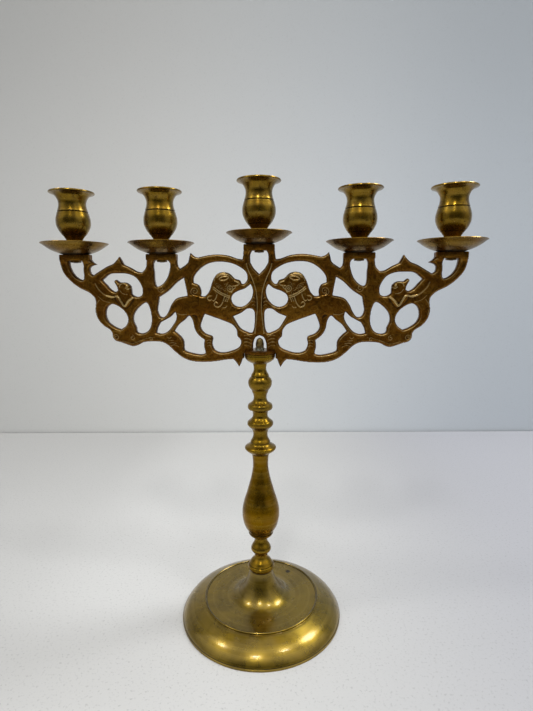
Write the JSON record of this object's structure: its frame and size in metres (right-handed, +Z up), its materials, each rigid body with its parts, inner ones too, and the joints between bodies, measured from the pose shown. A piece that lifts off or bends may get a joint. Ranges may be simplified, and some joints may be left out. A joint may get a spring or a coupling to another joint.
{
  "type": "menorah",
  "caption": "Free-standing menorah: a turned brass foot and stem carry a flat openwork casting with lions, which holds a row of candle sockets over drip pans.",
  "frame": {"origin": "centre of the base, on the surface that it stands on", "axes": "+Z up the stem, +X along the row of lights, -Y towards the viewer"},
  "size_m": [0.3994, 0.157, 0.4168],
  "materials": {
    "turned_brass": "aged satin",
    "pan_brass": "aged satin",
    "cast_brass": "dark brown patina, as cast",
    "nut_brass": "dull, with verdigris",
    "steel": "dull zinc"
  },
  "bodies": {
    "stand": {"base": "turned_brass", "stem_lower": "turned_brass", "stem_baluster": "turned_brass", "stem_upper": "turned_brass", "base_washer": "steel", "base_nut": "steel", "tie_rod": "steel", "arm_nut": "nut_brass"},
    "arms": {"arm_panel": "cast_brass", "lock_nut_left_outer": "nut_brass", "lock_nut_left_inner": "nut_brass", "lock_nut_centre": "nut_brass", "lock_nut_right_inner": "nut_brass", "lock_nut_right_outer": "nut_brass"},
    "pan_left_outer": {"drip_pan_left_outer": "pan_brass"},
    "socket_left_outer": {"candle_socket_left_outer": "turned_brass", "socket_stud_left_outer": "steel"},
    "pan_left_inner": {"drip_pan_left_inner": "pan_brass"},
    "socket_left_inner": {"candle_socket_left_inner": "turned_brass", "socket_stud_left_inner": "steel"},
    "pan_centre": {"drip_pan_centre": "pan_brass"},
    "socket_centre": {"candle_socket_centre": "turned_brass", "socket_stud_centre": "steel"},
    "pan_right_inner": {"drip_pan_right_inner": "pan_brass"},
    "socket_right_inner": {"candle_socket_right_inner": "turned_brass", "socket_stud_right_inner": "steel"},
    "pan_right_outer": {"drip_pan_right_outer": "pan_brass"},
    "socket_right_outer": {"candle_socket_right_outer": "turned_brass", "socket_stud_right_outer": "steel"}
  },
  "joints": [
    {"name": "arms_swivel", "type": "hinge", "parent": "stand", "child": "arms", "pos_m": [0, 0, 0.2625], "axis": [0, 0, 1], "continuous": true},
    {"name": "left_outer_lift", "type": "slide", "parent": "arms", "child": "pan_left_outer", "axis": [0, 0, 1], "range_m": [0, 0.008]},
    {"name": "left_outer_unscrew", "type": "hinge", "parent": "pan_left_outer", "child": "socket_left_outer", "pos_m": [-0.17, 0, 0.3533], "axis": [0, 0, 1], "range_deg": [0, 3600]},
    {"name": "left_inner_lift", "type": "slide", "parent": "arms", "child": "pan_left_inner", "axis": [0, 0, 1], "range_m": [0, 0.008]},
    {"name": "left_inner_unscrew", "type": "hinge", "parent": "pan_left_inner", "child": "socket_left_inner", "pos_m": [-0.0893, 0, 0.3533], "axis": [0, 0, 1], "range_deg": [0, 3600]},
    {"name": "centre_lift", "type": "slide", "parent": "arms", "child": "pan_centre", "axis": [0, 0, 1], "range_m": [0, 0.008]},
    {"name": "centre_unscrew", "type": "hinge", "parent": "pan_centre", "child": "socket_centre", "pos_m": [0, 0, 0.3613], "axis": [0, 0, 1], "range_deg": [0, 3600]},
    {"name": "right_inner_lift", "type": "slide", "parent": "arms", "child": "pan_right_inner", "axis": [0, 0, 1], "range_m": [0, 0.008]},
    {"name": "right_inner_unscrew", "type": "hinge", "parent": "pan_right_inner", "child": "socket_right_inner", "pos_m": [0.0893, 0, 0.3533], "axis": [0, 0, 1], "range_deg": [0, 3600]},
    {"name": "right_outer_lift", "type": "slide", "parent": "arms", "child": "pan_right_outer", "axis": [0, 0, 1], "range_m": [0, 0.008]},
    {"name": "right_outer_unscrew", "type": "hinge", "parent": "pan_right_outer", "child": "socket_right_outer", "pos_m": [0.17, 0, 0.3533], "axis": [0, 0, 1], "range_deg": [0, 3600]}
  ],
  "couplings": [
    {"joint": "left_outer_unscrew", "follows": "left_outer_lift", "rad_per_m": 7854},
    {"joint": "left_inner_unscrew", "follows": "left_inner_lift", "rad_per_m": 7854},
    {"joint": "centre_unscrew", "follows": "centre_lift", "rad_per_m": 7854},
    {"joint": "right_inner_unscrew", "follows": "right_inner_lift", "rad_per_m": 7854},
    {"joint": "right_outer_unscrew", "follows": "right_outer_lift", "rad_per_m": 7854}
  ]
}
